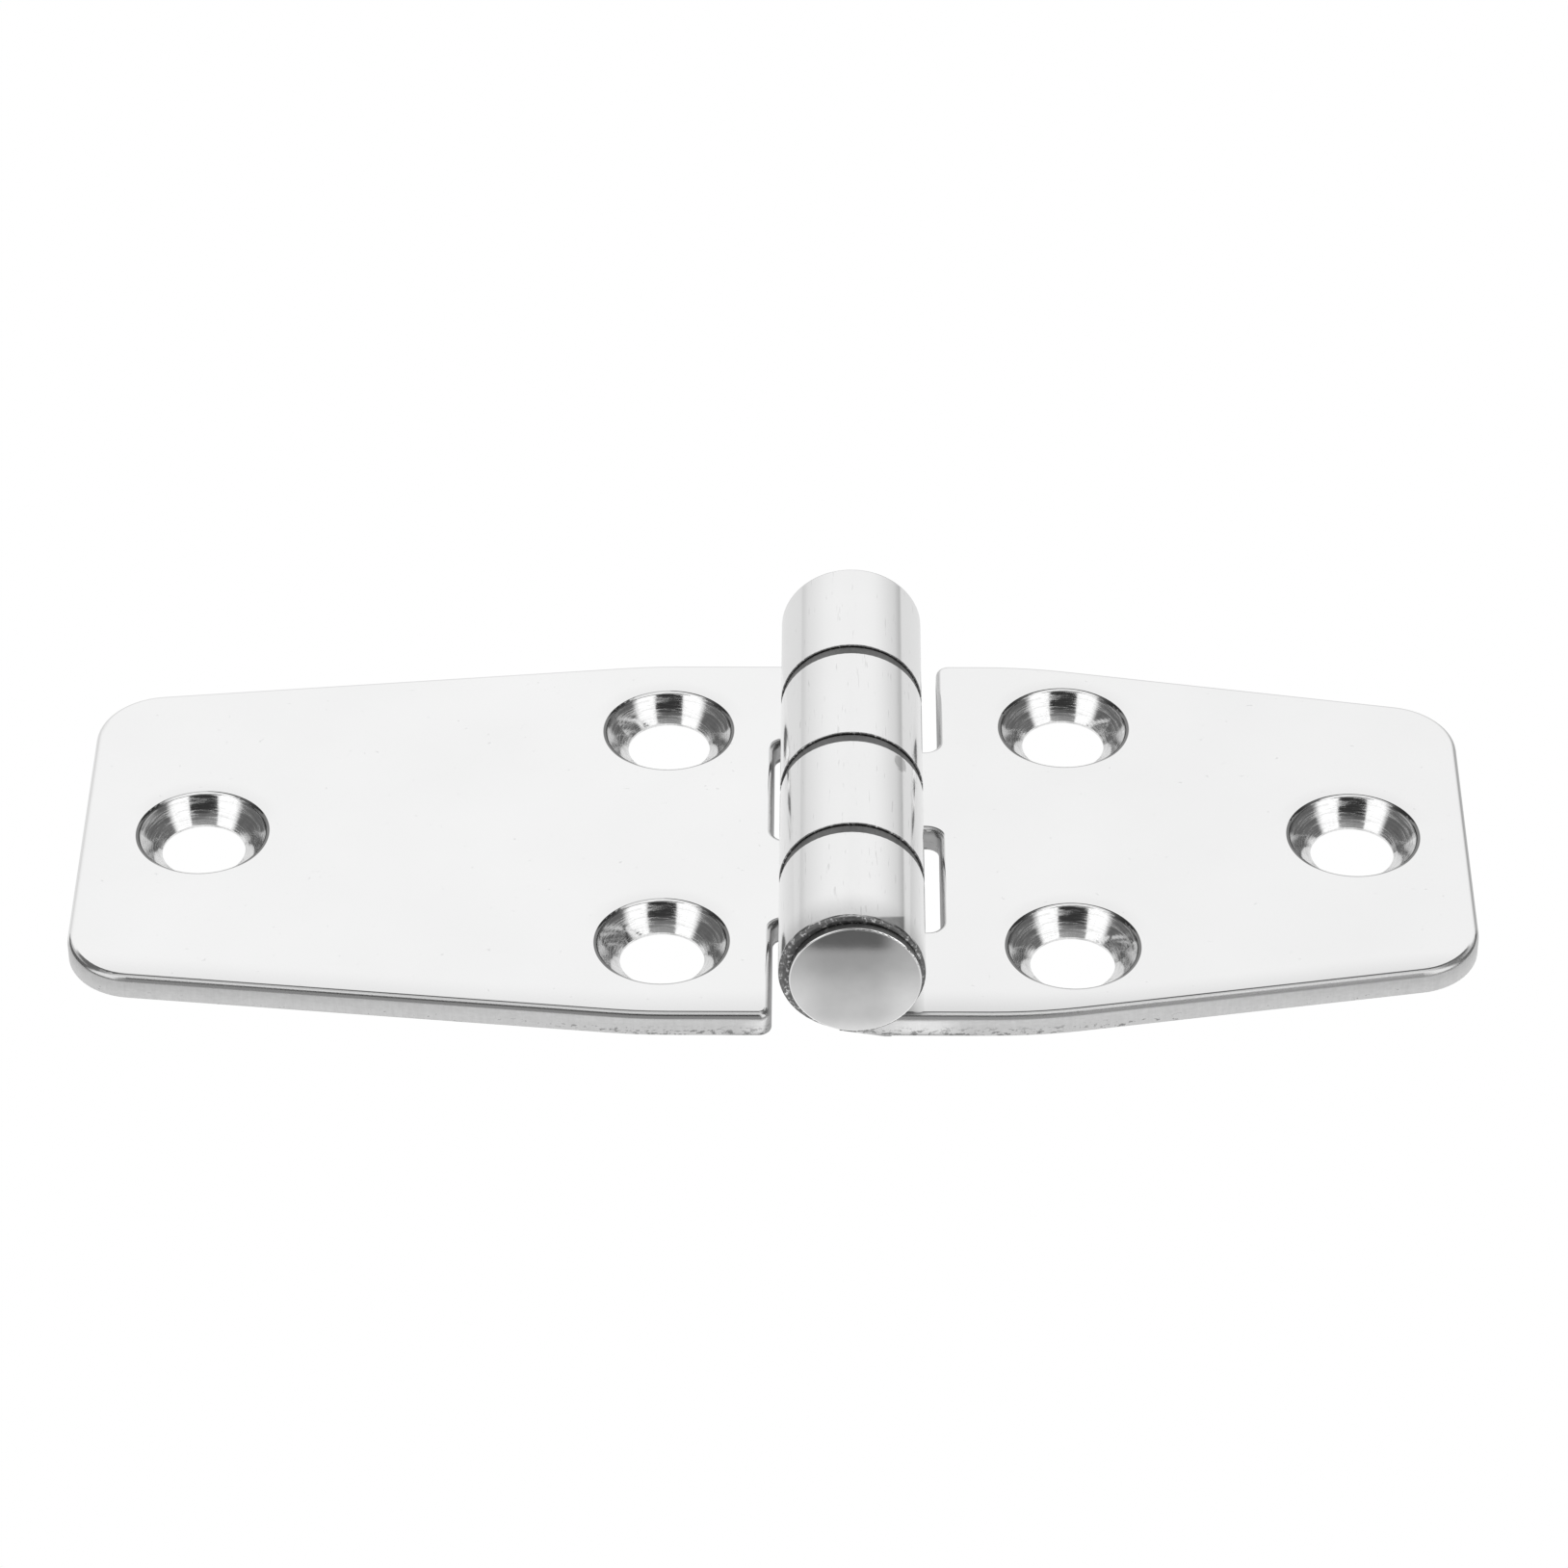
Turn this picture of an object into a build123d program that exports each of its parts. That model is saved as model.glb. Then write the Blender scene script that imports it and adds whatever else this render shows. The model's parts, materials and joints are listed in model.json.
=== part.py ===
from build123d import *
import math
import os

# Strap hinge in polished stainless sheet: a long leaf and a short leaf with rolled knuckles, which turn on
# one headed pin, with spacer washers between the knuckles. Millimetres and degrees.
# The origin lies on the mounting surface, under the middle of the pin. The pin runs along Y, the long leaf
# points along -X, the short leaf along +X, and the countersunk faces look up, along +Z.

# Sheet and overall sizes
sheet_thickness = 2.0
leaf_width = 44.0
long_reach = 60.0  # pin axis to the free end of the long leaf
short_reach = 48.0  # pin axis to the free end of the short leaf

# Plan shape of the leaves
long_taper_start = 16.0  # pin axis to where the sides begin to converge
short_taper_start = 14.0
long_side_inset = 4.75  # how far each side has moved in at the free end
short_side_inset = 6.0
end_corner_radius = 5.5
side_blend_radius = 40.0
notch_corner_radius = 1.0
long_notch_clearance = 0.5  # gap between the barrel and the leaf's notches
short_notch_clearance = 1.3
top_edge_radius = 0.55
hole_rim_radius = 0.4
bottom_edge_radius = 0.15

# Screw holes, countersunk at 90 degrees down to a short land
hole_diameter = 6.5
hole_land = 0.2
countersink_angle = 90.0
long_pair_offset = 14.5  # pin axis to the row of two holes
short_pair_offset = 16.9
long_pair_edge_margin = 8.8  # side of the leaf to the hole's centre
short_pair_edge_margin = 8.35
long_end_hole_margin = 9.4  # free end of the leaf to the hole's centre
short_end_hole_margin = 8.9

# Barrel, pin and washers
pin_diameter = 7.0
running_clearance = 0.05  # radial, pin in the long leaf's knuckles and in the washers
knuckle_count = 4
knuckle_gap = 1.0  # axial room between two knuckles
barrel_lift = 0.5  # lowest line of the barrel above the mounting surface
roll_start = 2.5  # pin axis to where the underside leaves the mounting surface
barrel_end_radius = 0.35
knuckle_edge_radius = 0.1
seam_width = 0.12  # slit where the rolled sheet closes against the leaf
washer_end_clearance = 0.1  # washer to knuckle, each side
washer_rim_inset = 0.15  # how far the washer's rim lies below the barrel's surface
head_diameter = 10.0
near_head_thickness = 0.6
far_head_thickness = 0.3
head_edge_radius = 0.15
near_head_offset = 0.25  # the near head is set this far off the pin's axis, towards the short leaf
head_clearance = 0.1  # head to knuckle

# Sizes that follow
bore_radius = pin_diameter / 2 + running_clearance
pressed_bore_radius = pin_diameter / 2
barrel_radius = bore_radius + sheet_thickness
axis_height = barrel_radius + barrel_lift
half_width = leaf_width / 2
knuckle_width = (leaf_width - (knuckle_count - 1) * knuckle_gap) / knuckle_count
knuckle_pitch = knuckle_width + knuckle_gap
groove_x = math.sqrt(barrel_radius**2 - (axis_height - sheet_thickness) ** 2)
cone_rise = sheet_thickness - hole_land
countersink_radius = hole_diameter / 2 + cone_rise * math.tan(math.radians(countersink_angle / 2))

long_knuckles = [0, 2]  # counted from the far end of the pin, +Y
short_knuckles = [1, 3]
overlap = 0.5  # how far pieces of one solid run into each other before they are joined
near_zero = 0.01


def knuckle_centre(index):
    """Place along the pin of one knuckle's middle."""
    return half_width - knuckle_width / 2 - index * knuckle_pitch


def along_pin(shape, centre_y):
    """Turn a shape made about Z so that it lies about the pin's axis."""
    return Pos(0, centre_y, axis_height) * Rot(90, 0, 0) * shape


def leaf_outline(reach, taper_start, side_inset, notch_x, knuckles):
    """Plan of a leaf that points along +X, with one tab for each of its knuckles."""
    end_half_width = half_width - side_inset
    upper = [(notch_x, half_width), (taper_start, half_width), (reach, end_half_width)]
    lower = [(x, -y) for x, y in reversed(upper)]
    outline = make_face(Polyline(*upper, *lower, close=True))
    tab_length = notch_x + overlap - roll_start
    for index in knuckles:
        tab = Rectangle(tab_length, knuckle_width, align=(Align.MIN, Align.CENTER))
        outline += Pos(roll_start, knuckle_centre(index)) * tab
    corners = outline.vertices()
    outline = fillet(corners.filter_by(lambda v: abs(v.X - reach) < near_zero), end_corner_radius)
    corners = outline.vertices()
    outline = fillet(corners.filter_by(lambda v: abs(v.X - taper_start) < near_zero), side_blend_radius)
    corners = outline.vertices()
    return fillet(corners.filter_by(lambda v: abs(v.X - notch_x) < near_zero), notch_corner_radius)


def countersunk_hole():
    """Cutter for one screw hole, standing on the mounting surface."""
    shank = Cylinder(hole_diameter / 2, 2 * sheet_thickness)
    upright = (Align.CENTER, Align.CENTER, Align.MIN)
    cone = Cone(hole_diameter / 2, countersink_radius, cone_rise, align=upright)
    return shank + Pos(0, 0, hole_land) * cone


def leaf_blank(outline, hole_places):
    """Flat leaf with its holes, its rims and edges rounded, before the knuckles are joined to it."""
    blank = extrude(outline, sheet_thickness)
    for place in hole_places:
        blank -= Pos(*place) * countersunk_hole()
    hole_rims = blank.faces().sort_by(Axis.Z)[-1].inner_wires().edges()
    blank = fillet(hole_rims, hole_rim_radius)
    top_edges = blank.faces().sort_by(Axis.Z)[-1].outer_wire().edges()
    blank = fillet(top_edges.filter_by(lambda e: e.center().X > roll_start + near_zero), top_edge_radius)
    bottom_edges = blank.faces().sort_by(Axis.Z)[0].outer_wire().edges()
    return fillet(bottom_edges.filter_by(lambda e: e.center().X > roll_start + near_zero), bottom_edge_radius)


def knuckle_ring(index):
    """Plain ring of one knuckle. The two ends of the whole barrel are rounded more than the rest."""
    ring = along_pin(Cylinder(barrel_radius, knuckle_width), knuckle_centre(index))
    far_rim = ring.edges().filter_by(GeomType.CIRCLE).sort_by(Axis.Y)[-1]
    ring = fillet(far_rim, barrel_end_radius if index == 0 else knuckle_edge_radius)
    near_rim = ring.edges().filter_by(GeomType.CIRCLE).sort_by(Axis.Y)[0]
    return fillet(near_rim, barrel_end_radius if index == knuckle_count - 1 else knuckle_edge_radius)


def roll_web(index):
    """Sheet between the leaf and its roll: the underside rises in a straight line tangent to the barrel."""
    reach = math.hypot(axis_height, roll_start)
    rise = math.acos(barrel_radius / reach) - math.atan2(roll_start, axis_height)
    tangent_point = (-barrel_radius * math.sin(rise), axis_height - barrel_radius * math.cos(rise))
    points = [
        (roll_start + overlap, 0),
        (roll_start, 0),
        tangent_point,
        (0, axis_height),
        (groove_x, sheet_thickness),
        (roll_start + overlap, sheet_thickness),
    ]
    profile = Plane.XZ * make_face(Polyline(*points, close=True))
    return Pos(0, knuckle_centre(index), 0) * extrude(profile, knuckle_width / 2, both=True)


def seam_slit(index):
    """Cutter for the slit between the end of the rolled sheet and the leaf."""
    slit_length = barrel_radius - bore_radius + overlap
    outward = (Align.MIN, Align.CENTER, Align.CENTER)
    slit = Box(slit_length, knuckle_width + overlap, seam_width, align=outward)
    slope = math.degrees(math.atan2(axis_height - sheet_thickness, groove_x))
    turned = Rot(0, slope, 0) * Pos(bore_radius - overlap, 0, 0) * slit
    return Pos(0, knuckle_centre(index), axis_height) * turned


def leaf(reach, taper_start, side_inset, notch_clearance, knuckles, hole_places, leaf_bore_radius):
    """One leaf that points along +X."""
    notch_x = barrel_radius + notch_clearance
    body = leaf_blank(leaf_outline(reach, taper_start, side_inset, notch_x, knuckles), hole_places)
    for index in knuckles:
        body += knuckle_ring(index) + roll_web(index)
    for index in knuckles:
        body -= along_pin(Cylinder(leaf_bore_radius, knuckle_width + overlap), knuckle_centre(index))
        body -= seam_slit(index)
    return body


def hole_places(reach, pair_offset, pair_edge_margin, end_hole_margin):
    """Centres of a leaf's three holes: a pair beside the barrel and one at the free end."""
    pair_y = half_width - pair_edge_margin
    return [(pair_offset, pair_y), (pair_offset, -pair_y), (reach - end_hole_margin, 0)]


def long_leaf():
    """Long leaf, which carries the far knuckle and turns freely on the pin."""
    places = hole_places(long_reach, long_pair_offset, long_pair_edge_margin, long_end_hole_margin)
    shape = leaf(
        long_reach,
        long_taper_start,
        long_side_inset,
        long_notch_clearance,
        long_knuckles,
        places,
        bore_radius,
    )
    return mirror(shape, about=Plane.YZ)


def short_leaf():
    """Short leaf, which carries the near knuckle and holds the pin."""
    places = hole_places(short_reach, short_pair_offset, short_pair_edge_margin, short_end_hole_margin)
    return leaf(
        short_reach,
        short_taper_start,
        short_side_inset,
        short_notch_clearance,
        short_knuckles,
        places,
        pressed_bore_radius,
    )


def pin_head(thickness, face_y, direction, offset_x):
    """Flat head whose back stands at face_y and whose front looks along +Y or -Y."""
    head = Cylinder(head_diameter / 2, thickness)
    head = fillet(head.edges().group_by(Axis.Z)[-1], head_edge_radius)
    outward = Rot(90 if direction < 0 else -90, 0, 0)
    return Pos(offset_x, face_y + direction * thickness / 2, axis_height) * outward * head


def hinge_pin():
    """Pin with a head at each end of the barrel. The far head is the thin, riveted one."""
    face_y = half_width + head_clearance
    shaft = along_pin(Cylinder(pin_diameter / 2, 2 * face_y + far_head_thickness), 0)
    near_head = pin_head(near_head_thickness, -face_y, -1, near_head_offset)
    return shaft + near_head + pin_head(far_head_thickness, face_y, 1, 0)


def spacer_washer(gap_index):
    """Washer in one gap between knuckles, counted from the far end."""
    thickness = knuckle_gap - 2 * washer_end_clearance
    ring = Cylinder(barrel_radius - washer_rim_inset, thickness) - Cylinder(bore_radius, thickness)
    return along_pin(ring, knuckle_centre(gap_index) - knuckle_pitch / 2)


def write_part(name, shape):
    """Write one node and report its size."""
    shape.label = name
    export_step(shape, os.path.join("parts", name + ".step"))
    print(name, "volume", round(shape.volume, 1), "box", shape.bounding_box().size)


os.makedirs("parts", exist_ok=True)
write_part("long_leaf", long_leaf())
write_part("short_leaf", short_leaf())
write_part("hinge_pin", hinge_pin())
for washer_index in range(knuckle_count - 1):
    write_part("spacer_washer_" + str(washer_index + 1), spacer_washer(washer_index))
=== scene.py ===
import json
import math

import bpy
from mathutils import Matrix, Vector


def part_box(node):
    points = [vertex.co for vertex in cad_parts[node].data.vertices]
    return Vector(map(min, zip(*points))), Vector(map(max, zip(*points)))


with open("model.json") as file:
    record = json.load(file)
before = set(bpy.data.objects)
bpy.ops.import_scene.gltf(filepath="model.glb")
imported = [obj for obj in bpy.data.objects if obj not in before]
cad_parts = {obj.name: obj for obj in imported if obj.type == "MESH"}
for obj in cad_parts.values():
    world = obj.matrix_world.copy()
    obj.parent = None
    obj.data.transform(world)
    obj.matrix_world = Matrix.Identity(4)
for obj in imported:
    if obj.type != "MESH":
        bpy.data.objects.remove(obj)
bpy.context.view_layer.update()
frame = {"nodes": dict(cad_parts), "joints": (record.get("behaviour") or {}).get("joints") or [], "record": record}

# Polished stainless strap hinge in a small white studio. Lengths are in millimetres and angles in degrees.
# In the settings, limits are where a change starts and where it is complete, and a spread is the factors
# that a texture gives at its lowest and its highest.
mm = 0.001


# Node helpers

class Socket:
    # One output of a node. Arithmetic on it adds Math nodes, and make adds any other node.

    def __init__(self, tree, output):
        self.tree = tree
        self.output = output

    def make(self, kind, settings=None, **inputs):
        return make(self.tree, kind, settings, **inputs)

    def maths(self, operation, *values):
        node = self.tree.nodes.new("ShaderNodeMath")
        node.operation = operation
        for slot, value in zip(node.inputs, values):
            plug(self.tree, slot, value)
        return Socket(self.tree, node.outputs[0])

    def __add__(self, other):
        return self.maths("ADD", self, other)

    def __radd__(self, other):
        return self.maths("ADD", other, self)

    def __sub__(self, other):
        return self.maths("SUBTRACT", self, other)

    def __rsub__(self, other):
        return self.maths("SUBTRACT", other, self)

    def __mul__(self, other):
        return self.maths("MULTIPLY", self, other)

    def __rmul__(self, other):
        return self.maths("MULTIPLY", other, self)

    def __truediv__(self, other):
        return self.maths("DIVIDE", self, other)

    def __rtruediv__(self, other):
        return self.maths("DIVIDE", other, self)

    def __pow__(self, other):
        return self.maths("POWER", self, other)

    def __neg__(self):
        return self.maths("MULTIPLY", self, -1.0)

    def __abs__(self):
        return self.maths("ABSOLUTE", self)

    def least(self, other):
        return self.maths("MINIMUM", self, other)

    def most(self, other):
        return self.maths("MAXIMUM", self, other)


def plug(tree, slot, value):
    if isinstance(value, Socket):
        tree.links.new(value.output, slot)
    elif value is not None:
        slot.default_value = value


def make(tree, kind, settings=None, **inputs):
    # settings go on first, because some of them change which sockets the node has
    node = tree.nodes.new(kind)
    for name, value in (settings or {}).items():
        if name != "output":
            setattr(node, name, value)
    for name, value in inputs.items():
        slots = [s for s in node.inputs if s.enabled and s.name.replace(" ", "") == name]
        for slot, each in zip(slots, value if isinstance(value, list) else [value]):
            plug(tree, slot, each)
    wanted = (settings or {}).get("output")
    outputs = [s for s in node.outputs if s.enabled and wanted in (None, s.name)]
    return Socket(tree, outputs[0]) if outputs else None


def fade(value, start, end):
    # 0 at start, 1 at end, with soft shoulders; start may be the larger one
    settings = {"interpolation_type": "SMOOTHSTEP"}
    return value.make("ShaderNodeMapRange", settings, Value=value, FromMin=start, FromMax=end)


def blend(mask, low, high):
    # numbers: low where mask is 0, high where it is 1
    return low + mask * (high - low)


def greyColour(value):
    return value.make("ShaderNodeCombineColor", None, Red=value, Green=value, Blue=value)


def noiseOn(place, scale, detail=2.0, roughness=0.5):
    inputs = {"Vector": place, "Scale": scale, "Detail": detail, "Roughness": roughness}
    return place.make("ShaderNodeTexNoise", None, **inputs)


def stretched(place, alongX, alongY, alongZ):
    stretch = (alongX, alongY, alongZ)
    return place.make("ShaderNodeVectorMath", {"operation": "MULTIPLY"}, Vector=[place, stretch])


def grainOn(place, along, detail, roughness=0.5):
    # noise whose scale is given along X, Y and Z
    return noiseOn(stretched(place, *along), 1.0, detail, roughness)


def joined(x, y, z):
    return x.make("ShaderNodeCombineXYZ", None, X=x, Y=y, Z=z)


def parts(vector):
    return [vector.make("ShaderNodeSeparateXYZ", {"output": axis}, Vector=vector) for axis in "XYZ"]


def lengthOf(a, b):
    return (a * a + b * b) ** 0.5


# Places taken from the frame

def mountNamed(name):
    return next(m for m in frame["record"]["mounts"] if m["name"] == name)


def holeCentres(side):
    # the pair beside the barrel and the one at the free end
    pair, end = mountNamed(side + "_pair"), mountNamed(side + "_end_hole")
    halfSpacing = pair["dims"]["spacing_y_mm"] / 2
    pairX = pair["pos_m"][0] / mm
    return [(pairX, halfSpacing), (pairX, -halfSpacing), (end["pos_m"][0] / mm, 0.0)]


def holeRadius(side):
    return mountNamed(side + "_end_hole")["dims"]["r_mm"]


swing = frame["joints"][0]
pinHeight = swing["pos_m"][2] / mm
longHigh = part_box("long_leaf")[1] / mm
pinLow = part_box("hinge_pin")[0] / mm
barrelRadius = longHigh.z - pinHeight
halfWidth = longHigh.y


# Materials: each starts from a place on the piece, in millimetres

def startMaterial(name):
    material = bpy.data.materials.new(name)
    material.use_nodes = True
    tree = material.node_tree
    tree.nodes.clear()
    place = make(tree, "ShaderNodeTexCoord", {"output": "Object"})
    return material, stretched(place, 1 / mm, 1 / mm, 1 / mm)


def facingOn(place):
    # which way the surface faces there, as three numbers
    return parts(place.make("ShaderNodeTexCoord", {"output": "Normal"}))


class Coat:
    # The finish so far: grey and roughness are numbers over the surface, height is in millimetres.

    def __init__(self, grey, roughness, height):
        self.grey = grey
        self.roughness = roughness
        self.height = height

    # darkens the grey: used for marks and for painted shade
    def darken(self, mask, amount):
        self.grey = self.grey * (1 - mask * amount)

    def cover(self, mask, grey, roughness=None):
        self.grey = blend(mask, self.grey, grey)
        if roughness is not None:
            self.roughness = blend(mask, self.roughness, roughness)

    def lift(self, mask, height):
        self.height = self.height + mask * height

    def finish(self):
        tree = self.height.tree
        bump = make(tree, "ShaderNodeBump", None, Height=self.height * mm, Distance=1.0, Strength=1.0)
        shader = make(
            tree,
            "ShaderNodeBsdfPrincipled",
            None,
            BaseColor=greyColour(self.grey),
            Roughness=self.roughness,
            Metallic=1.0,
            Normal=bump,
        )
        make(tree, "ShaderNodeOutputMaterial", None, Surface=shader)


# Leaves. First where a point lies on a leaf, then one finish after another, some of them painted shade and painted
# reflection.

leafShape = {
    "sheetThickness": 2.0,
    "rimReach": 1.966,  # how far the countersink's rim lies outside the hole's own radius
    "bearingLimits": (1.8, 1.6),  # how far outside a rim the bearing from its hole still counts
    "barrelLimits": (0.06, 0.02),  # outside the barrel's radius
    "coneLimits": (0.03, -0.07),  # outside the rim
    "topLimits": (0.6, 0.75),  # shares of the sheet's thickness
    "notchLimits": (12.0, 9.0),  # from the pin
    "clearOfRim": 0.2,  # what keeps the leaf's own edge apart from the holes' rims
    "insetShare": 0.9,
    "taperMargins": (-2.0, 6.0),  # before the taper's start, and beyond the leaf's end
    # how far a surface faces along one axis, from -1 to 1
    "coneFacing": (0.86, 0.78),
    "sideFacing": (0.45, 0.2),
    "undersideFacing": (-0.7, -0.9),
    "knuckleEndFacing": (0.2, 0.6),
    "edgeFacing": (0.995, 0.96),
    "nearEdgeFacing": (-0.05, -0.2),
    "endEdgeFacing": (0.3, 0.7),
}

# What differs between the leaves. The edge greys are painted shade along the rounded edges. Each reflection patch
# is a grey spot of painted reflection on a knuckle: its middle along X and Y, and its half widths.
longFinish = {
    "taperStart": 16.0,  # from the pin to where the sides begin to converge
    "sideInset": 4.75,
    "reach": 60.0,
    "buffShade": 0.13,
    "nearEdgeGrey": 0.58,
    "nearEdgeRoughness": 0.2,
    "endEdgeGrey": 0.86,
    "faceShade": 1.0,
    "barrelEndShade": 0.0,
    "patches": [(3.75, -1.5, 0.5, 1.0)],
}
shortFinish = {
    "taperStart": 14.0,
    "sideInset": 6.0,
    "reach": 48.0,
    "buffShade": 0.2,
    "nearEdgeGrey": 0.66,
    "nearEdgeRoughness": 0.27,
    "endEdgeGrey": 0.46,
    "faceShade": 0.98,
    "barrelEndShade": 0.32,
    "patches": [],
}


def nearestHole(x, y, centres, limits):
    # distance to the nearest hole, and the point's bearing from it as a step of length 1 along X and Y
    distance = None
    acrossX, acrossY = 0.0, 0.0
    for centreX, centreY in centres:
        stepX, stepY = x - centreX, y - centreY
        away = lengthOf(stepX, stepY)
        here = fade(away, *limits)
        acrossX, acrossY = acrossX + here * stepX / away, acrossY + here * stepY / away
        distance = away if distance is None else distance.least(away)
    return distance, acrossX, acrossY


class LeafMap:
    # Where a point lies on a leaf. Each mask is 1 in its region and 0 outside it.

    def __init__(self, side, own, shape):
        self.material, self.place = startMaterial(side.replace("_", "") + "Steel")
        self.x, self.y, self.z = parts(self.place)
        self.facingX, self.facingY, self.facingZ = facingOn(self.place)
        self.sheet = shape["sheetThickness"]
        self.holeRadius = holeRadius(side)
        self.rimRadius = self.holeRadius + shape["rimReach"]
        bearingLimits = [self.rimRadius + limit for limit in shape["bearingLimits"]]
        nearest = nearestHole(self.x, self.y, holeCentres(side), bearingLimits)
        self.fromHole, self.bearingX, self.bearingY = nearest
        self.fromEnd = self.y + halfWidth  # along the pin, from the barrel's near end
        self.fine = noiseOn(self.place, 2.2, 4.0, 0.6)
        self.markRegions(shape)
        self.markEdges(own, shape)

    def markRegions(self, shape):
        level = abs(self.facingZ)
        fromPin = lengthOf(self.x, self.z - pinHeight)
        self.onBarrel = fade(fromPin - barrelRadius, *shape["barrelLimits"])
        self.onKnuckleEnd = self.onBarrel * fade(abs(self.facingY), *shape["knuckleEndFacing"])
        inRim = fade(self.fromHole - self.rimRadius, *shape["coneLimits"])
        self.onCone = inRim * fade(level, *shape["coneFacing"])
        self.onSheet = (1 - self.onBarrel) * (1 - self.onCone)
        self.onSide = fade(level, *shape["sideFacing"]) * self.onSheet
        self.onTop = fade(self.z / self.sheet, *shape["topLimits"])
        self.onUnderside = self.onSheet * fade(self.facingZ, *shape["undersideFacing"])

    def markEdges(self, own, shape):
        # the rounded edge around the top: along the near side, at the free end, and beside the barrel
        onEdge = self.onSheet * fade(self.facingZ, *shape["edgeFacing"])
        onEdge = onEdge * fade(self.fromHole - self.rimRadius, 0.0, shape["clearOfRim"])
        self.onNearEdge = onEdge * fade(self.facingY, *shape["nearEdgeFacing"])
        self.onEndEdge = onEdge * fade(abs(self.facingX), *shape["endEdgeFacing"])
        self.onNotchEdge = self.onEndEdge * fade(abs(self.x), *shape["notchLimits"])
        # the fade's soft shoulder stands for the side's soft bend where its taper starts
        before, beyond = shape["taperMargins"]
        converging = fade(abs(self.x), own["taperStart"] + before, own["reach"] + beyond)
        self.fromNearSide = self.y + halfWidth - converging * own["sideInset"] * shape["insetShare"]


faceFinish = {
    "grey": 0.9,
    "roughness": 0.045,
    "roughnessSpread": (0.7, 1.5),
    "cloudAmount": 0.05,  # slow changes of tone
    "cloudScale": 0.09,
    "scratchDepth": 0.00012,
    "scratchScale": (0.35, 6.0, 1.0),
    "nickScale": 1.7,
    "nickLimits": (0.69, 0.74),
    "nickShade": 0.1,
    "buffWidth": 3.4,  # the strip along the near side that buffing has rounded over; its darkening is painted shade, the face itself stays flat
    "dishReach": 1.5,  # painted shade a little beyond the far side of each countersink; the face itself stays flat there
    "dishShade": 0.05,
    "dishBearing": (0.1, 0.8),
    "notchEdgeGrey": 0.7,
    "notchEdgeRoughness": 0.3,
}


def polishAndShadeFace(leaf, own, settings, barrelShade):
    clouds = noiseOn(leaf.place, settings["cloudScale"], 3.0)
    grey = blend(clouds, settings["grey"] - settings["cloudAmount"], settings["grey"])
    grey = grey * blend(leaf.onBarrel, own["faceShade"], barrelShade)
    roughness = settings["roughness"] * blend(leaf.fine, *settings["roughnessSpread"])
    scratch = grainOn(leaf.place, settings["scratchScale"], 2.0)
    coat = Coat(grey, roughness, scratch * settings["scratchDepth"])

    # painted shade along each leaf's near side
    coat.darken(leaf.onSheet * fade(leaf.fromNearSide, settings["buffWidth"], 0.0), own["buffShade"])
    nick = fade(noiseOn(leaf.place, settings["nickScale"], 3.0, 0.6), *settings["nickLimits"])
    coat.darken(leaf.onSheet * nick, settings["nickShade"])
    # painted shade: the rounded edges at the ends and along the near side are painted darker grey for the dark
    # lines they mirror, and the near edge is also rougher
    coat.cover(leaf.onEndEdge, own["endEdgeGrey"])
    coat.cover(leaf.onNearEdge, own["nearEdgeGrey"], own["nearEdgeRoughness"])
    # painted shade beyond the far side of each countersink
    halo = leaf.onTop * fade(leaf.fromHole, leaf.rimRadius + settings["dishReach"], leaf.rimRadius)
    halo = halo * fade(leaf.bearingY, *settings["dishBearing"])
    coat.darken(leaf.onSheet * halo, settings["dishShade"])
    # painted shade on the rounded edge beside the notches, which is also rougher
    coat.cover(leaf.onNotchEdge, settings["notchEdgeGrey"], settings["notchEdgeRoughness"])
    return coat


barrelFinish = {
    "roughness": 0.1,
    "roughnessSpread": (0.6, 1.4),
    "shade": 0.97,
    "drawnScale": (3.0, 0.12, 3.0),  # marks drawn out along the pin
    "drawnDepth": 0.0004,
    "strayScale": (5.0, 0.4, 5.0),
    "strayLimits": (0.66, 0.72),
    "strayShade": 0.14,
    "patchGrey": 0.55,  # painted reflection: grey patches on the knuckles
    "patchLimits": (1.0, 0.75),
    "patchRaggedness": 0.8,
    "dullLimits": (3.4, -0.3),  # painted shade: the near knuckle darkens towards its end
    "dullSpread": (0.85, 1.15),
    "groundGrey": 0.27,  # and has a dark grey wedge of painted reflection on its right shoulder
    "groundSpread": (0.7, 1.3),
    "groundSlope": 1.28,
    "groundLimits": (0.15, -0.15),
    "groundLeft": (0.6, 2.4),
    "groundRight": (4.0, 3.75),
    "groundReach": (2.6, 2.2),
}


def markAndShadeBarrel(leaf, own, settings, coat, faceRoughness):
    drawn = grainOn(leaf.place, settings["drawnScale"], 3.0)
    rougher = (settings["roughness"] - faceRoughness) * blend(drawn, *settings["roughnessSpread"])
    coat.roughness = coat.roughness + leaf.onBarrel * rougher
    coat.lift(leaf.onBarrel, drawn * settings["drawnDepth"])
    stray = fade(grainOn(leaf.place, settings["strayScale"], 2.0), *settings["strayLimits"])
    coat.darken(leaf.onBarrel * stray, settings["strayShade"])
    # painted reflection: grey patches on the knuckles
    for middleX, middleY, halfX, halfY in own["patches"]:
        fromMiddle = lengthOf((leaf.x - middleX) / halfX, (leaf.y - middleY) / halfY)
        ragged = (leaf.fine - 0.5) * settings["patchRaggedness"]
        inPatch = leaf.onBarrel * fade(fromMiddle + ragged, *settings["patchLimits"])
        coat.cover(inPatch * fade(leaf.z, pinHeight, pinHeight + 1), settings["patchGrey"])
    if own["barrelEndShade"]:
        shadeNearKnuckle(leaf, own, settings, coat)


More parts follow.
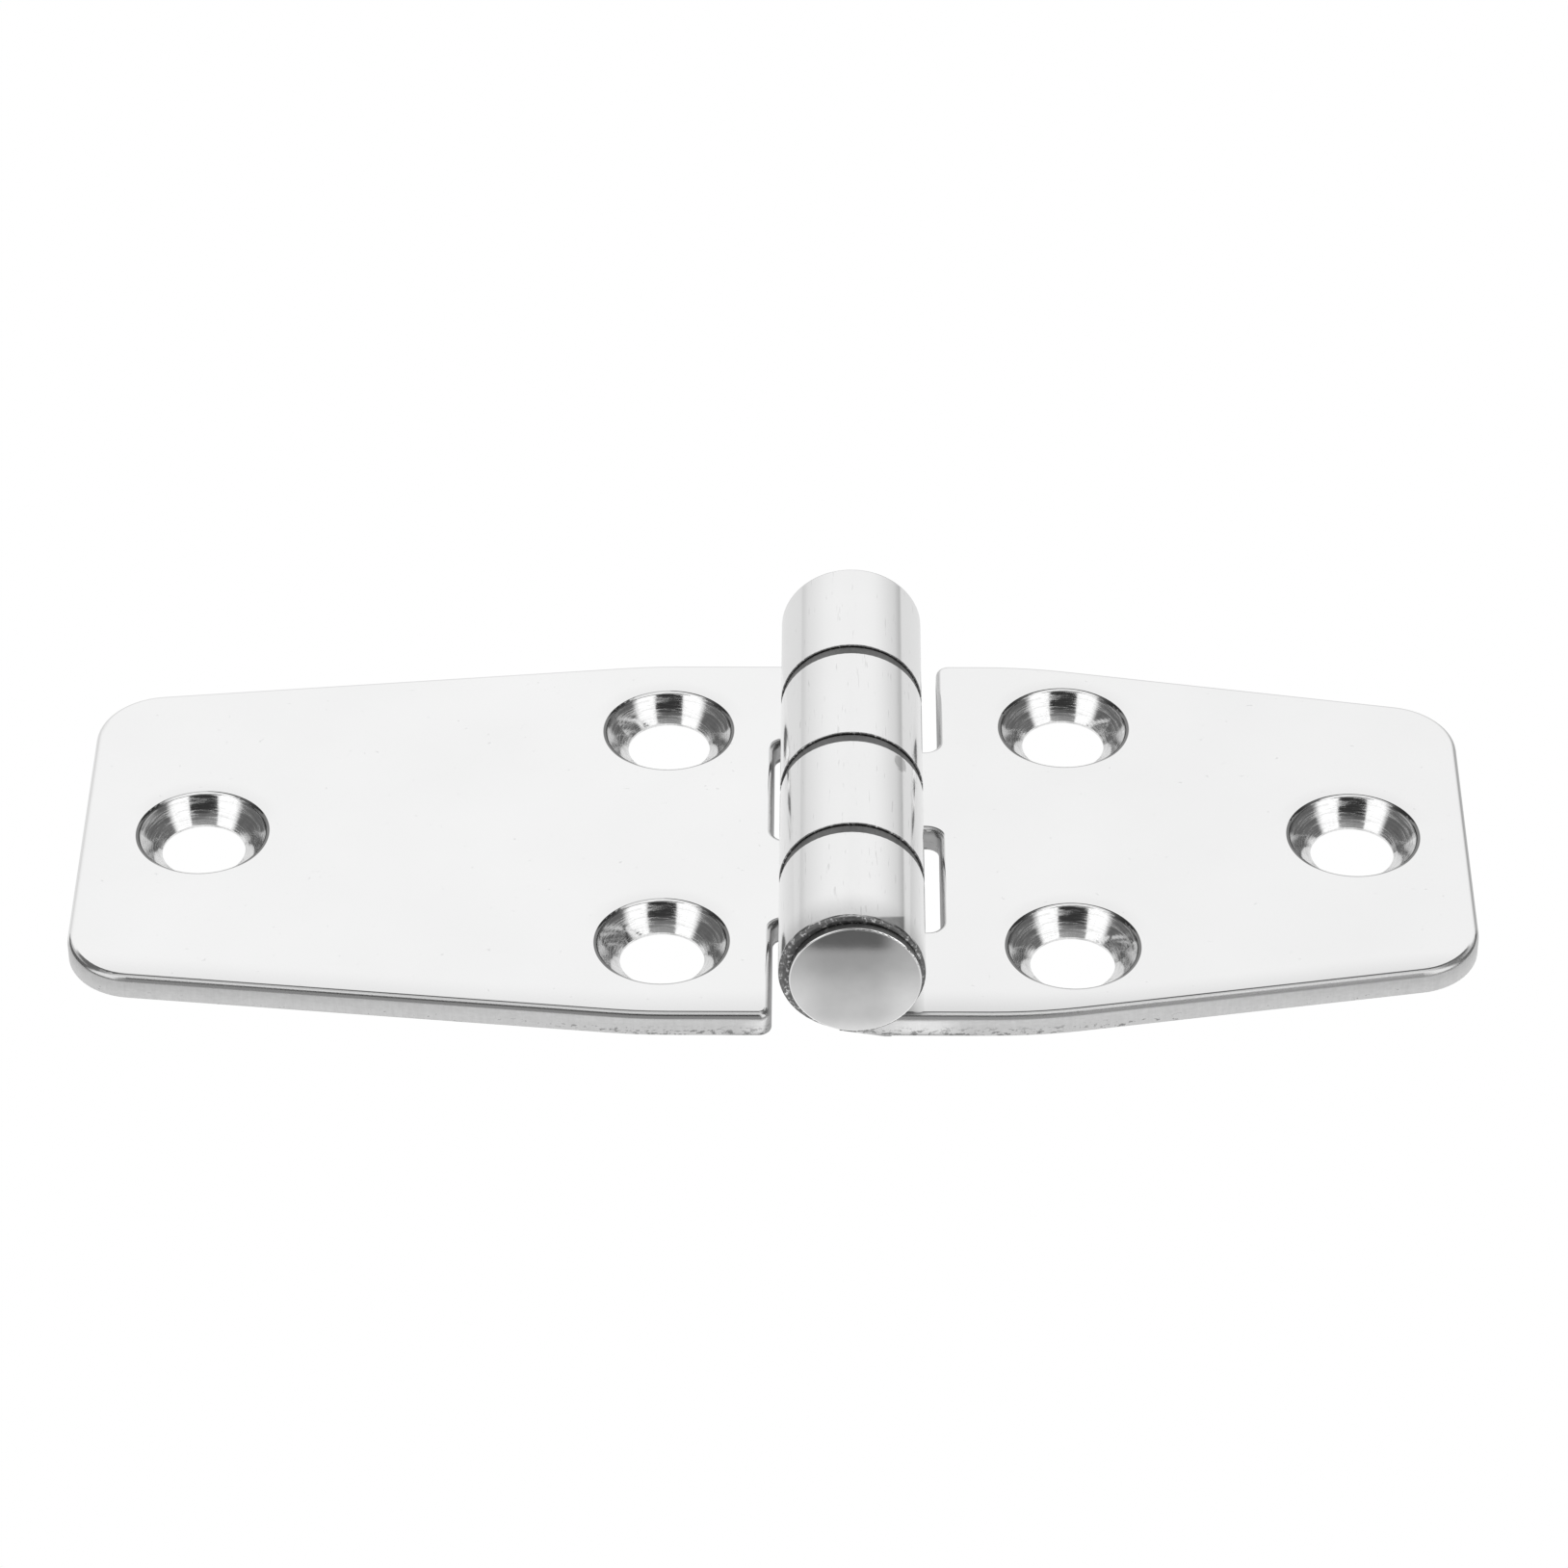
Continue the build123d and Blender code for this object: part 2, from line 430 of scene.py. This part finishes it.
def shadeNearKnuckle(leaf, own, settings, coat):
    # painted shade: the near knuckle darkens towards its end
    knuckleShaded = fade(leaf.fromEnd, *settings["dullLimits"]) * blend(leaf.fine, *settings["dullSpread"])
    coat.darken(leaf.onBarrel * knuckleShaded, own["barrelEndShade"])
    # painted reflection: a dark grey wedge on the near knuckle's right shoulder
    belowCrown = barrelRadius - (leaf.z - pinHeight)
    reflectedWedge = fade(leaf.fromEnd - settings["groundSlope"] * belowCrown, *settings["groundLimits"])
    reflectedWedge = reflectedWedge * fade(leaf.x, *settings["groundLeft"]) * fade(leaf.x, *settings["groundRight"])
    reflectedWedge = reflectedWedge * fade(leaf.fromEnd, *settings["groundReach"])
    groundGrey = settings["groundGrey"] * blend(leaf.fine, *settings["groundSpread"])
    coat.cover(leaf.onBarrel * reflectedWedge, groundGrey)


countersinkFinish = {
    "grey": 0.86,
    "roughness": 0.1,
    "wornRoughness": 0.3,
    "wornLimits": (0.48, 0.66),
    "bow": 0.085,  # how much the wall is rounded over its slope
    "turningPitch": 0.16,  # distance between turning marks
    "turningDepth": 0.0006,
    "arcScale": (13.0, 1.8),  # outwards, and around
    "arcLimits": (0.35, 0.6),
    "arcSpread": (0.76, 1.08),
    "spokeScale": (0.6, 16.0),
    "spokeSpread": (0.84, 1.12),
    "unevenScale": 9.0,
    "rimRound": 0.28,  # width of the rounded rim
    "rimLineGrey": 0.5,  # painted shade: a dark line at its outer edge
    "rimLineInset": 0.045,
    "rimLineLimits": (0.06, 0.02),
    "rimNearGrey": 0.55,
    "rimNearLimits": (0.0, -0.1),
    "rimNearDepth": (-0.5, -0.3),  # from the face
    "rimSideGrey": 0.2,
    "rimSideSpread": (0.6, 1.4),
    "rimSideOutside": (0.03, -0.04),
    "rimSideInside": (-0.1, 0.0),
    "farBearing": (0.2, 0.6),
    "nearBearing": (-0.3, -0.7),
    "sideBearing": (0.5, 0.8),
}


def aroundHole(leaf, outwards, around, detail, roughness):
    place = joined(leaf.fromHole * outwards, leaf.bearingX * around, leaf.bearingY * around)
    return noiseOn(place, 1.0, detail, roughness)


def turnCountersinks(leaf, settings, coat):
    # fine rings left by the tool, broken up around the hole
    arcs = aroundHole(leaf, *settings["arcScale"], 4.0, 0.65)
    spokes = aroundHole(leaf, *settings["spokeScale"], 2.0, 0.6)
    coneGrey = settings["grey"] * blend(fade(arcs, *settings["arcLimits"]), *settings["arcSpread"])
    coneGrey = coneGrey * blend(spokes, *settings["spokeSpread"])
    worn = fade(arcs, *settings["wornLimits"])
    coat.cover(leaf.onCone, coneGrey, blend(worn, settings["roughness"], settings["wornRoughness"]))

    ringPhase = leaf.fromHole * (2 * math.pi / settings["turningPitch"])
    broken = noiseOn(leaf.place, 1.1, 2.0)
    uneven = joined(leaf.fromHole * settings["unevenScale"], broken * 1.5, 0.0)
    rings = ringPhase.maths("SINE", ringPhase) * broken + noiseOn(uneven, 1.0, 3.0, 0.6) * 2.0
    upSlope = leaf.fromHole - (leaf.holeRadius + leaf.rimRadius) / 2
    coat.lift(leaf.onCone, rings * settings["turningDepth"] - settings["bow"] * upSlope * upSlope)
    shadeRims(leaf, settings, coat, arcs)


def shadeRims(leaf, settings, coat, arcs):
    # painted shade: darker lines on the far, near and side parts of each countersink's rim, for what the rounded
    # rims mirror
    fromRim = leaf.fromHole - leaf.rimRadius
    farLine = fade(abs(fromRim + settings["rimLineInset"]), *settings["rimLineLimits"])
    farLine = leaf.onTop * farLine * fade(leaf.bearingY, *settings["farBearing"])
    coat.cover(farLine, settings["rimLineGrey"])
    nearLine = fade(fromRim, *settings["rimNearLimits"]) * fade(leaf.bearingY, *settings["nearBearing"])
    nearLine = nearLine * fade(leaf.z - leaf.sheet, *settings["rimNearDepth"])
    coat.cover(nearLine, settings["rimNearGrey"])
    fromInnerRim = fromRim + settings["rimRound"]
    rimSide = fade(fromRim, *settings["rimSideOutside"]) * fade(fromInnerRim, *settings["rimSideInside"])
    rimSide = leaf.onTop * rimSide * fade(abs(leaf.bearingX), *settings["sideBearing"])
    coat.cover(rimSide, settings["rimSideGrey"] * blend(arcs, *settings["rimSideSpread"]))


undersideFinish = {
    "grey": 0.66,
    "greySpread": (0.88, 1.1),
    "roughness": 0.28,
    "roughnessSpread": (0.8, 1.2),
    "rolledScale": (0.25, 7.0, 1.0),
    "rolledDepth": 0.002,
}


def leaveAsRolled(leaf, settings, coat):
    # the grain runs along the leaf
    rolled = grainOn(leaf.place, settings["rolledScale"], 4.0, 0.6)
    grey = settings["grey"] * blend(rolled, *settings["greySpread"])
    roughness = settings["roughness"] * blend(rolled, *settings["roughnessSpread"])
    coat.cover(leaf.onUnderside, grey, roughness)
    coat.lift(leaf.onUnderside, rolled * settings["rolledDepth"])


sideFinish = {
    "grey": 0.72,
    "roughness": 0.34,
    "roughnessSpread": (0.8, 1.25),
    "toolMarkScale": (3.5, 3.5, 0.5),
    "toolMarkSpread": (0.86, 1.08),
    "toolMarkDepth": 0.006,
    "speckleScale": (1.6, 1.6, 3.5),
    "speckleSpread": (0.85, 1.15),
    "speckleDepth": 0.01,
    "smudgeAbove": (0.62, 0.5),  # rarer at the free end than beside the barrel
    "smudgeLimits": (30.0, 12.0),
    "smudgeSoftness": 0.08,
    "smudgeHeight": (0.6, 0.15),  # shares of the sheet's thickness
    "smudgeShade": 0.6,
    "endShade": 0.16,
    "endLimits": (15.0, 45.0),
    "endHeight": (0.15, 0.8),
}


def blankSides(leaf, settings, coat):
    # satin, with upright tool marks and small dark smudges low down
    upright = grainOn(leaf.place, settings["toolMarkScale"], 3.0, 0.65)
    speckle = grainOn(leaf.place, settings["speckleScale"], 4.0, 0.7)
    smudgeAbove = blend(fade(abs(leaf.x), *settings["smudgeLimits"]), *settings["smudgeAbove"])
    smudge = fade(speckle - smudgeAbove, 0.0, settings["smudgeSoftness"])
    smudge = smudge * fade(leaf.z / leaf.sheet, *settings["smudgeHeight"])
    grey = settings["grey"] * blend(upright, *settings["toolMarkSpread"])
    grey = grey * blend(speckle, *settings["speckleSpread"]) * (1 - settings["smudgeShade"] * smudge)
    towardsEnd = fade(abs(leaf.x), *settings["endLimits"])
    towardsEnd = towardsEnd * fade(leaf.z / leaf.sheet, *settings["endHeight"])
    grey = grey * (1 - settings["endShade"] * towardsEnd)
    coat.cover(leaf.onSide, grey, settings["roughness"] * blend(upright, *settings["roughnessSpread"]))
    coat.lift(leaf.onSide, upright * settings["toolMarkDepth"] + speckle * settings["speckleDepth"])


knuckleEndFinish = {
    "grey": 0.2,
    "greySpread": (0.4, 1.6),
    "roughness": 0.42,
    "roughnessSpread": (0.8, 1.2),
    "tearScale": 3.4,
    "tearDepth": 0.02,
    "brightGrey": 0.6,
    "brightLimits": (0.54, 0.66),
}


def cutKnuckleEnds(leaf, settings, coat):
    # matte, coarse and dark, with a few bright tears
    torn = noiseOn(leaf.place, settings["tearScale"], 3.0, 0.7)
    bright = settings["brightGrey"] * fade(torn, *settings["brightLimits"])
    grey = settings["grey"] * blend(torn, *settings["greySpread"]) + bright
    roughness = settings["roughness"] * blend(torn, *settings["roughnessSpread"])
    coat.cover(leaf.onKnuckleEnd, grey, roughness)
    coat.lift(leaf.onKnuckleEnd, torn * settings["tearDepth"])


def leafSteel(side, own):
    leaf = LeafMap(side, own, leafShape)
    coat = polishAndShadeFace(leaf, own, faceFinish, barrelFinish["shade"])
    markAndShadeBarrel(leaf, own, barrelFinish, coat, faceFinish["roughness"])
    turnCountersinks(leaf, countersinkFinish, coat)
    leaveAsRolled(leaf, undersideFinish, coat)
    blankSides(leaf, sideFinish, coat)
    cutKnuckleEnds(leaf, knuckleEndFinish, coat)
    coat.finish()
    return leaf.material


pinFinish = {
    "faceFacing": (0.3, 0.6),
    "faceGrey": 0.86,
    "faceGreySpread": (0.9, 1.1),
    "faceRoughness": 0.09,
    "faceRoughnessSpread": (0.8, 1.2),
    "rubbedScale": (0.5, 1.0, 0.5),
    "grainScale": (9.0, 2.0, 9.0),
    "grainDepth": 0.0012,
    "edgeGrey": 0.2,  # sides of the heads, and the shank: dark grey, painted shade of the crevice behind each head
    "edgeGreySpread": (0.7, 1.3),
    "edgeRoughness": 0.4,
}


def pinSteel(settings):
    material, place = startMaterial("pinSteel")
    alongPin = facingOn(place)[1]
    onFace = fade(abs(alongPin), *settings["faceFacing"])
    rubbed = grainOn(place, settings["rubbedScale"], 3.0)
    grain = grainOn(place, settings["grainScale"], 3.0, 0.6)
    faceGrey = settings["faceGrey"] * blend(rubbed, *settings["faceGreySpread"])
    faceRoughness = settings["faceRoughness"] * blend(rubbed, *settings["faceRoughnessSpread"])
    # painted shade: the heads' sides and the shank are dark for the crevice behind each head
    edgeGrey = settings["edgeGrey"] * blend(grain, *settings["edgeGreySpread"])
    coat = Coat(edgeGrey, settings["edgeRoughness"], grain * settings["grainDepth"])
    coat.cover(onFace, faceGrey, faceRoughness)
    coat.finish()
    return material


washerFinish = {
    "grey": 0.17,
    "greySpread": (0.6, 1.4),
    "roughness": 0.34,
    "roughnessSpread": (0.8, 1.2),
    "grainScale": (3.0, 1.6, 3.0),
    "grainDepth": 0.005,
}


def washerSteel(settings):
    material, place = startMaterial("washerSteel")
    grain = grainOn(place, settings["grainScale"], 4.0, 0.6)
    grey = settings["grey"] * blend(grain, *settings["greySpread"])
    roughness = settings["roughness"] * blend(grain, *settings["roughnessSpread"])
    Coat(grey, roughness, grain * settings["grainDepth"]).finish()
    return material


def giveFinish(node, material):
    piece = frame["nodes"][node]
    piece.data.materials.clear()
    piece.data.materials.append(material)


giveFinish("long_leaf", leafSteel("long_leaf", longFinish))
giveFinish("short_leaf", leafSteel("short_leaf", shortFinish))
giveFinish("hinge_pin", pinSteel(pinFinish))
washerMaterial = washerSteel(washerFinish)
for index in range(3):
    giveFinish(f"spacer_washer_{index + 1}", washerMaterial)
print("steel finishes done")


# Studio: a white surround that is darker on the camera's side, and a glowing white table whose tone is painted
# dark in front.
# Directions are angles around the hinge, 0 in front of its near end and 180 behind its far end, and angles
# above the horizon.

studio = {
    "gap": 0.16,  # what shows between the lit parts
    "cameraSees": 1.0,
    "edge": 2.0,  # softness of the panels' edges
    "backdrop": 1.02,
    "backdropFrom": (133.0, 140.0),
    "backdropTop": (45.5, 40.5),
    "lowBack": (0.86, 0.76),  # left and right
    "lowBackRise": (2.0, 32.0),
    "horizon": (0.72, 0.52),  # left and right
    "horizonRise": (-1.0, 9.0),
    "rightward": (-0.2, 0.2),  # where left turns into right, as a share of the way to due right
    "flankShade": 0.95,  # the backdrop's ends beside its middle
    "flankSpan": (135.0, 170.0),
    "panel": 0.86,  # between the sides and the backdrop
    "panelFrom": (82.0, 90.0),
    "panelTo": (140.0, 133.0),
    "panelFoot": (9.0, 17.0),  # above the band that the countersinks mirror
    "mirroredFrom": 142.0,  # that band meets the horizon here
    "mirroredSlope": 0.65,  # and climbs this much for each degree towards the front
    "overhead": 0.95,
    "overheadFrom": (60.0, 67.0),
    "sides": 1.3,
    "sidesFrom": 33.0,  # where the front ends
    "sidesTo": (87.0, 69.0),
    "sidesFoot": (9.0, 15.0),
    "frontDark": 0.04,
    "frontTop": 69.0,
    "frontLow": 0.37,
    "frontLowTop": (50.0, 38.0),
}


def backdropTone(settings, x, elevation, around):
    rightward = fade(x, *settings["rightward"])
    tone = blend(
        fade(elevation, *settings["lowBackRise"]),
        blend(rightward, *settings["lowBack"]),
        settings["backdrop"],
    )
    tone = blend(fade(elevation, *settings["horizonRise"]), blend(rightward, *settings["horizon"]), tone)
    tone = tone * blend(fade(around, *settings["flankSpan"]), settings["flankShade"], 1.0)
    return fade(around, *settings["backdropFrom"]) * fade(elevation, *settings["backdropTop"]) * tone


def panelTone(settings, elevation, around):
    tone = fade(around, *settings["panelFrom"]) * fade(around, *settings["panelTo"]) * settings["panel"]
    aboveBand = elevation + (around - settings["mirroredFrom"]) * settings["mirroredSlope"]
    return tone * fade(aboveBand, *settings["panelFoot"]) * fade(elevation, *settings["backdropTop"])


def sidesTone(settings, elevation, around):
    start, edge = settings["sidesFrom"], settings["edge"]
    span = fade(around, start - edge, start + edge) * fade(around, *settings["sidesTo"])
    return span * fade(elevation, *settings["sidesFoot"]) * settings["sides"]


def surround(settings):
    world = bpy.data.worlds.new("studio")
    bpy.context.scene.world = world
    world.use_nodes = True
    tree = world.node_tree
    tree.nodes.clear()
    x, y, z = parts(make(tree, "ShaderNodeTexCoord", {"output": "Generated"}))
    elevation = z.maths("ARCSINE", z) * math.degrees(1)
    around = abs(x.maths("ARCTAN2", x, -y)) * math.degrees(1)
    lit = fade(elevation, *settings["overheadFrom"]) * settings["overhead"]
    for tone in (
        backdropTone(settings, x, elevation, around),
        sidesTone(settings, elevation, around),
        panelTone(settings, elevation, around),
    ):
        lit = lit.most(tone)
    lit = lit.most(settings["gap"])
    width, top, edge = settings["sidesFrom"], settings["frontTop"], settings["edge"]
    front = fade(around, width + edge, width - edge) * fade(elevation, top + edge, top - edge)
    low = fade(elevation, *settings["frontLowTop"])
    tone = blend(front, lit, blend(low, settings["frontDark"], settings["frontLow"]))
    seen = make(tree, "ShaderNodeLightPath", {"output": "Is Camera Ray"})
    tone = blend(seen, tone, settings["cameraSees"])
    glow = make(tree, "ShaderNodeBackground", None, Color=greyColour(tone), Strength=1.0)
    make(tree, "ShaderNodeOutputWorld", None, Surface=glow)


surround(studio)

# The table is a glowing sheet, painted light: its tones ahead of the pin's near end, with painted shade under the
# barrel and a painted dark band further ahead, are what the pin's head and the near edges mirror.
table = {
    "drop": 0.02,  # under the leaves
    "reach": 2000.0,
    "white": 0.82,
    "nearTone": 0.95,
    "middleTone": 0.6,
    "middleAhead": 3.5,  # in front of the pin's near end
    "edgeTone": 0.36,
    "edgeAhead": 10.9,
    "edgeSoftness": 0.3,
    "besideGain": 0.32,  # brighter beside the pin's middle than in line with it
    "besideSpan": (1.5, 5.0),
    "beyondTone": 0.12,
    "beyondMiddle": -0.2,
    "beyondSpan": (2.2, 4.2),
    "beyondSideTone": 0.42,
    "evenFrom": (6.0, 9.0),  # beyond the pin's own width the table is evenly lit
    "shadeTone": 0.48,  # under the barrel
    "shadeHalfWidth": 9.0,
    "shadeEdge": (1.0, 0.5),  # softness along X and Y
}


def flatSheet(name, halfX, lowY, highY, z):
    corners = [(-halfX, lowY, z), (halfX, lowY, z), (halfX, highY, z), (-halfX, highY, z)]
    mesh = bpy.data.meshes.new(name)
    mesh.from_pydata([[c * mm for c in corner] for corner in corners], [], [(0, 1, 2, 3)])
    sheet = bpy.data.objects.new(name, mesh)
    bpy.context.scene.collection.objects.link(sheet)
    return sheet


def toneAhead(settings, x, ahead):
    # painted tones from the pin's near end forwards: near, middle, a painted dark band where the table's edge
    # would be, and what lies beyond it
    middleAhead, edgeAhead = settings["middleAhead"], settings["edgeAhead"]
    tone = blend(fade(ahead, 0.0, middleAhead), settings["nearTone"], settings["middleTone"])
    tone = blend(fade(ahead, middleAhead, edgeAhead), tone, settings["edgeTone"])
    tone = tone * (1 + settings["besideGain"] * fade(abs(x), *settings["besideSpan"]))
    fromMiddle = fade(abs(x - settings["beyondMiddle"]), *settings["beyondSpan"])
    beyond = blend(fromMiddle, settings["beyondTone"], settings["beyondSideTone"])
    return blend(fade(ahead, edgeAhead, edgeAhead + settings["edgeSoftness"]), tone, beyond)


def tableWhite(settings):
    material, place = startMaterial("tableWhite")
    x, y = parts(place)[:2]
    ahead = pinLow.y - y
    even = fade(abs(x), *settings["evenFrom"]).most(fade(ahead, 0.0, -0.5))
    tone = blend(even, toneAhead(settings, x, ahead), settings["white"])
    shadeX, (edgeX, edgeY) = settings["shadeHalfWidth"], settings["shadeEdge"]
    # painted shadow on the table under the barrel
    shaded = fade(abs(x), shadeX + edgeX, shadeX) * fade(abs(y), halfWidth + edgeY, halfWidth)
    tone = blend(shaded, tone, settings["shadeTone"])
    tree = tone.tree
    glow = make(tree, "ShaderNodeEmission", None, Color=greyColour(tone), Strength=1.0)
    make(tree, "ShaderNodeOutputMaterial", None, Surface=glow)
    return material


def makeTable(settings):
    reach = settings["reach"]
    floor = flatSheet("floor", reach, -reach, reach, -settings["drop"])
    floor.data.materials.append(tableWhite(settings))
    # the camera looks past it, so that a leaf folded down and the underside stay in view
    floor.visible_camera = False


makeTable(table)
print("studio done")


# Camera: a long lens, above and in front of the pin's near end

cameraSettings = {
    "place": (-1.99, -391.65, 313.54),
    "turn": -0.475,  # about the vertical
    "down": 38.055,
    "roll": 0.154,
    "lens": 147.375,
    "sensor": 36.0,
    "nearest": 10.0,
    "farthest": 20000.0,
}


def addCamera(settings):
    data = bpy.data.cameras.new("camera")
    data.lens = settings["lens"]
    data.sensor_width = settings["sensor"]
    data.clip_start = settings["nearest"] * mm
    data.clip_end = settings["farthest"] * mm
    camera = bpy.data.objects.new("camera", data)
    bpy.context.scene.collection.objects.link(camera)
    turn, down, roll = (math.radians(settings[k]) for k in ("turn", "down", "roll"))
    facing = Matrix.Rotation(-turn, 4, "Z") @ Matrix.Rotation(math.pi / 2 - down, 4, "X")
    facing = facing @ Matrix.Rotation(-roll, 4, "Z")
    camera.matrix_world = Matrix.Translation([c * mm for c in settings["place"]]) @ facing
    bpy.context.scene.camera = camera


addCamera(cameraSettings)
bpy.context.scene.view_settings.view_transform = "Standard"
print("camera done")
